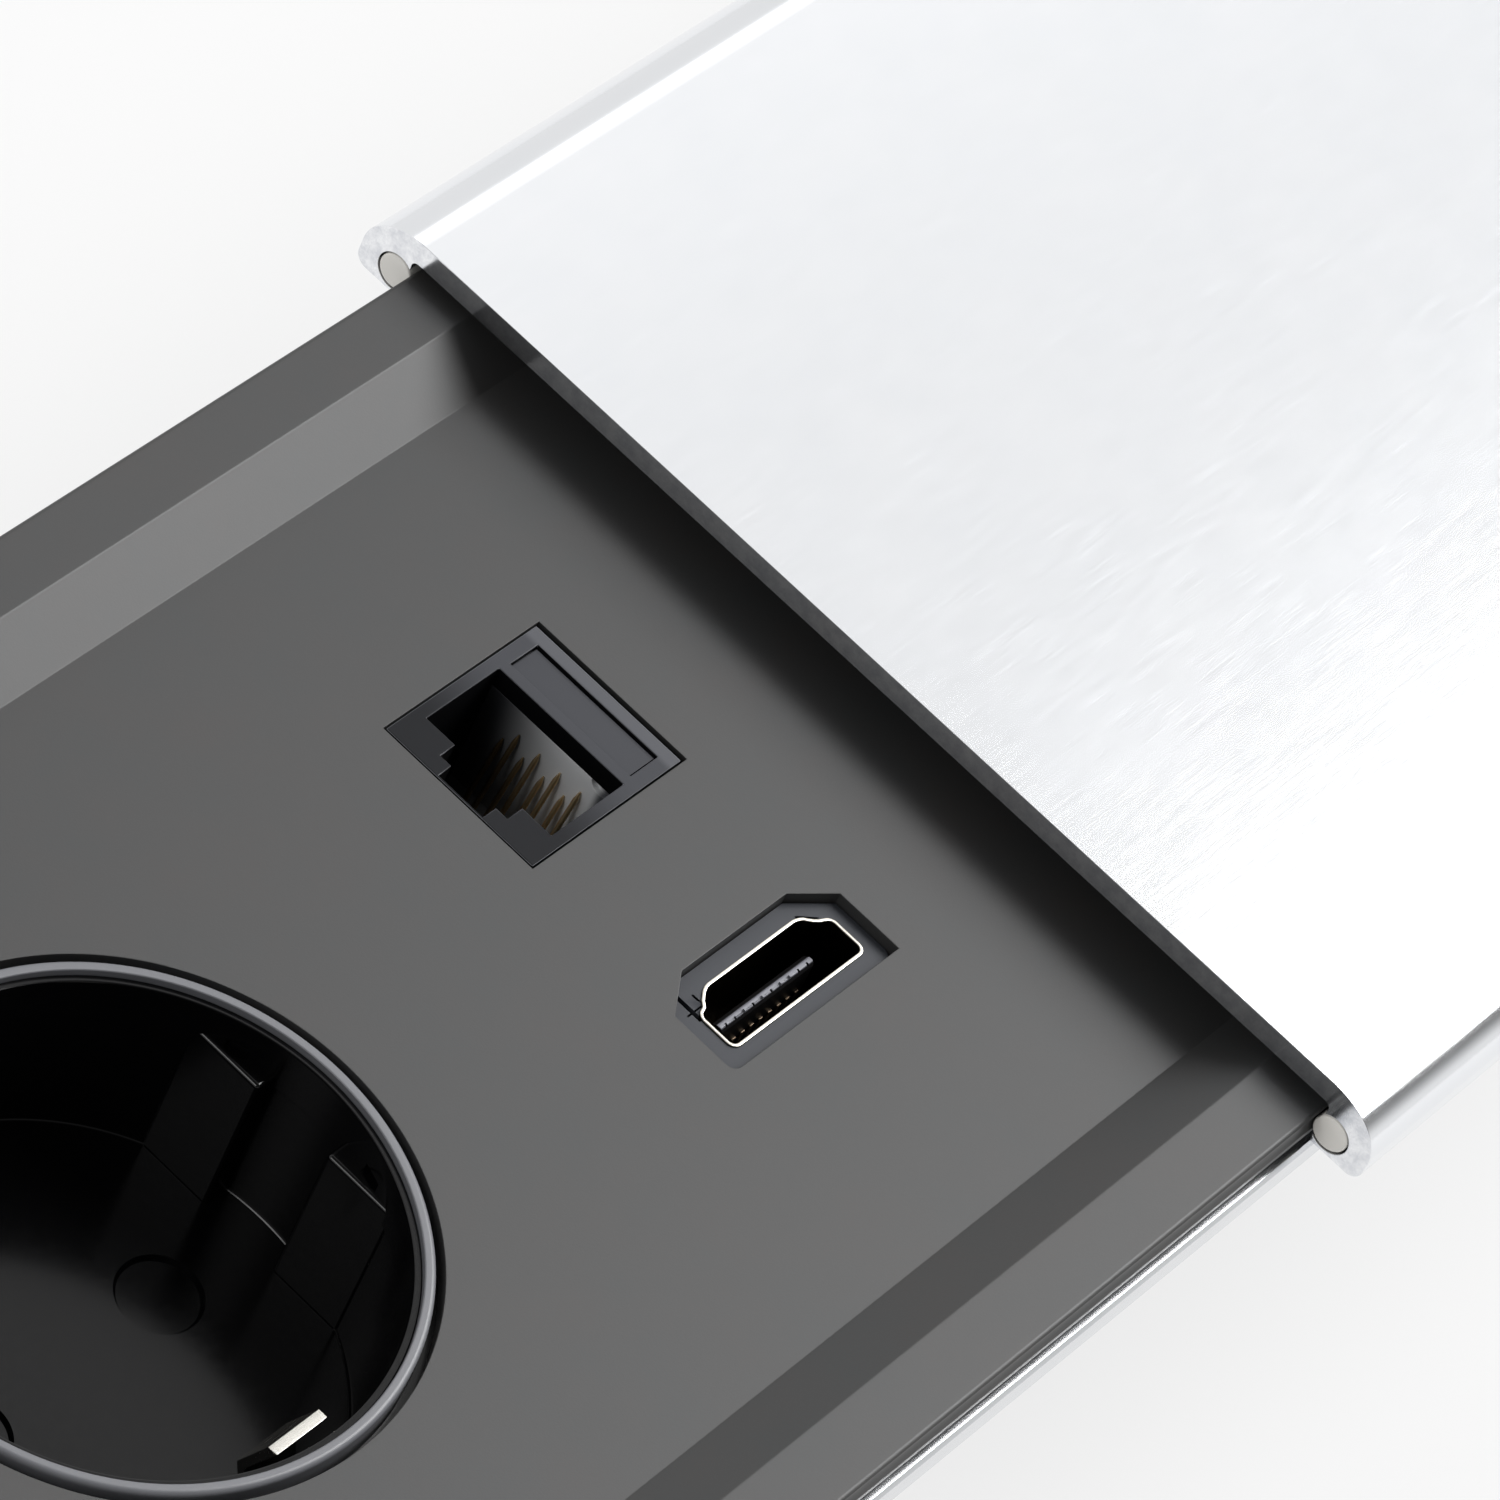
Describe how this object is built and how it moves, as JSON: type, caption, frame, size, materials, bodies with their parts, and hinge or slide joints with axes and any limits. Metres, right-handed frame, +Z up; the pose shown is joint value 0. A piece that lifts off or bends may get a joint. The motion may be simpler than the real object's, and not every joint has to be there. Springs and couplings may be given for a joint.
{
  "type": "in-desk power module",
  "caption": "Sunk socket strip for a desk top with mains sockets, network and video ports and a sliding aluminium cover.",
  "frame": {"origin": "middle of the lower housing's flat underside", "axes": "+X along the strip towards the open cover, +Z up out of the desk, +Y to the left when looking along +X"},
  "size_m": [0.3825, 0.1004, 0.0485],
  "materials": {
    "tray_plastic": "fine textured moulding, satin",
    "cover_aluminium": "bright natural anodised, satin",
    "rail_aluminium": "natural anodised",
    "glide_plastic": "natural, waxy",
    "stop_plastic": "moulded",
    "buffer_rubber": "matt",
    "socket_black": "high gloss moulding",
    "ring_plastic": "semi gloss moulding",
    "brass": "stamped",
    "spring_steel": "nickel plated",
    "jack_plastic": "moulded, satin",
    "carrier_plastic": "natural moulding",
    "gilt_contacts": "gold plated",
    "surround_plastic": "moulded",
    "shell_metal": "nickel plated sheet",
    "tongue_plastic": "moulded",
    "housing_plastic": "moulded, fine texture",
    "base_plastic": "thermoset moulding",
    "terminal_plastic": "moulded",
    "zinc_steel": "zinc plated",
    "gland_plastic": "moulded polyamide"
  },
  "bodies": {
    "module": {"socket_tray": "tray_plastic", "end_cap_left": "tray_plastic", "end_cap_right": "tray_plastic", "rail_left": "rail_aluminium", "rail_right": "rail_aluminium", "socket_ring_1": "ring_plastic", "socket_ring_2": "ring_plastic", "socket_insert_1": "socket_black", "socket_insert_2": "socket_black", "earth_clip_1": "spring_steel", "earth_clip_2": "spring_steel", "live_rail": "brass", "neutral_rail": "brass", "earth_rail": "brass", "contact_base": "base_plastic", "terminal_block": "terminal_plastic", "terminal_screws": "zinc_steel", "jack_body": "jack_plastic", "jack_contact_carrier": "carrier_plastic", "jack_contacts": "gilt_contacts", "jack_rear_cap": "jack_plastic", "hdmi_surround": "surround_plastic", "hdmi_shell": "shell_metal", "hdmi_tongue": "tongue_plastic", "hdmi_contacts": "gilt_contacts", "hdmi_body": "jack_plastic", "lower_housing": "housing_plastic", "housing_screws": "zinc_steel", "bracket_left": "zinc_steel", "bracket_right": "zinc_steel", "bracket_screws": "zinc_steel", "bracket_washers": "zinc_steel", "bracket_inserts": "brass", "mains_gland": "gland_plastic", "gland_nut": "gland_plastic", "data_grommet": "buffer_rubber"},
    "cover": {"slide_cover": "cover_aluminium", "glide_rod_left": "glide_plastic", "glide_rod_right": "glide_plastic", "cover_stop": "stop_plastic", "stop_buffer": "buffer_rubber"}
  },
  "joints": [
    {"name": "cover_slide", "type": "slide", "parent": "module", "child": "cover", "axis": [1, 0, 0], "range_m": [-0.1573, 0]}
  ]
}
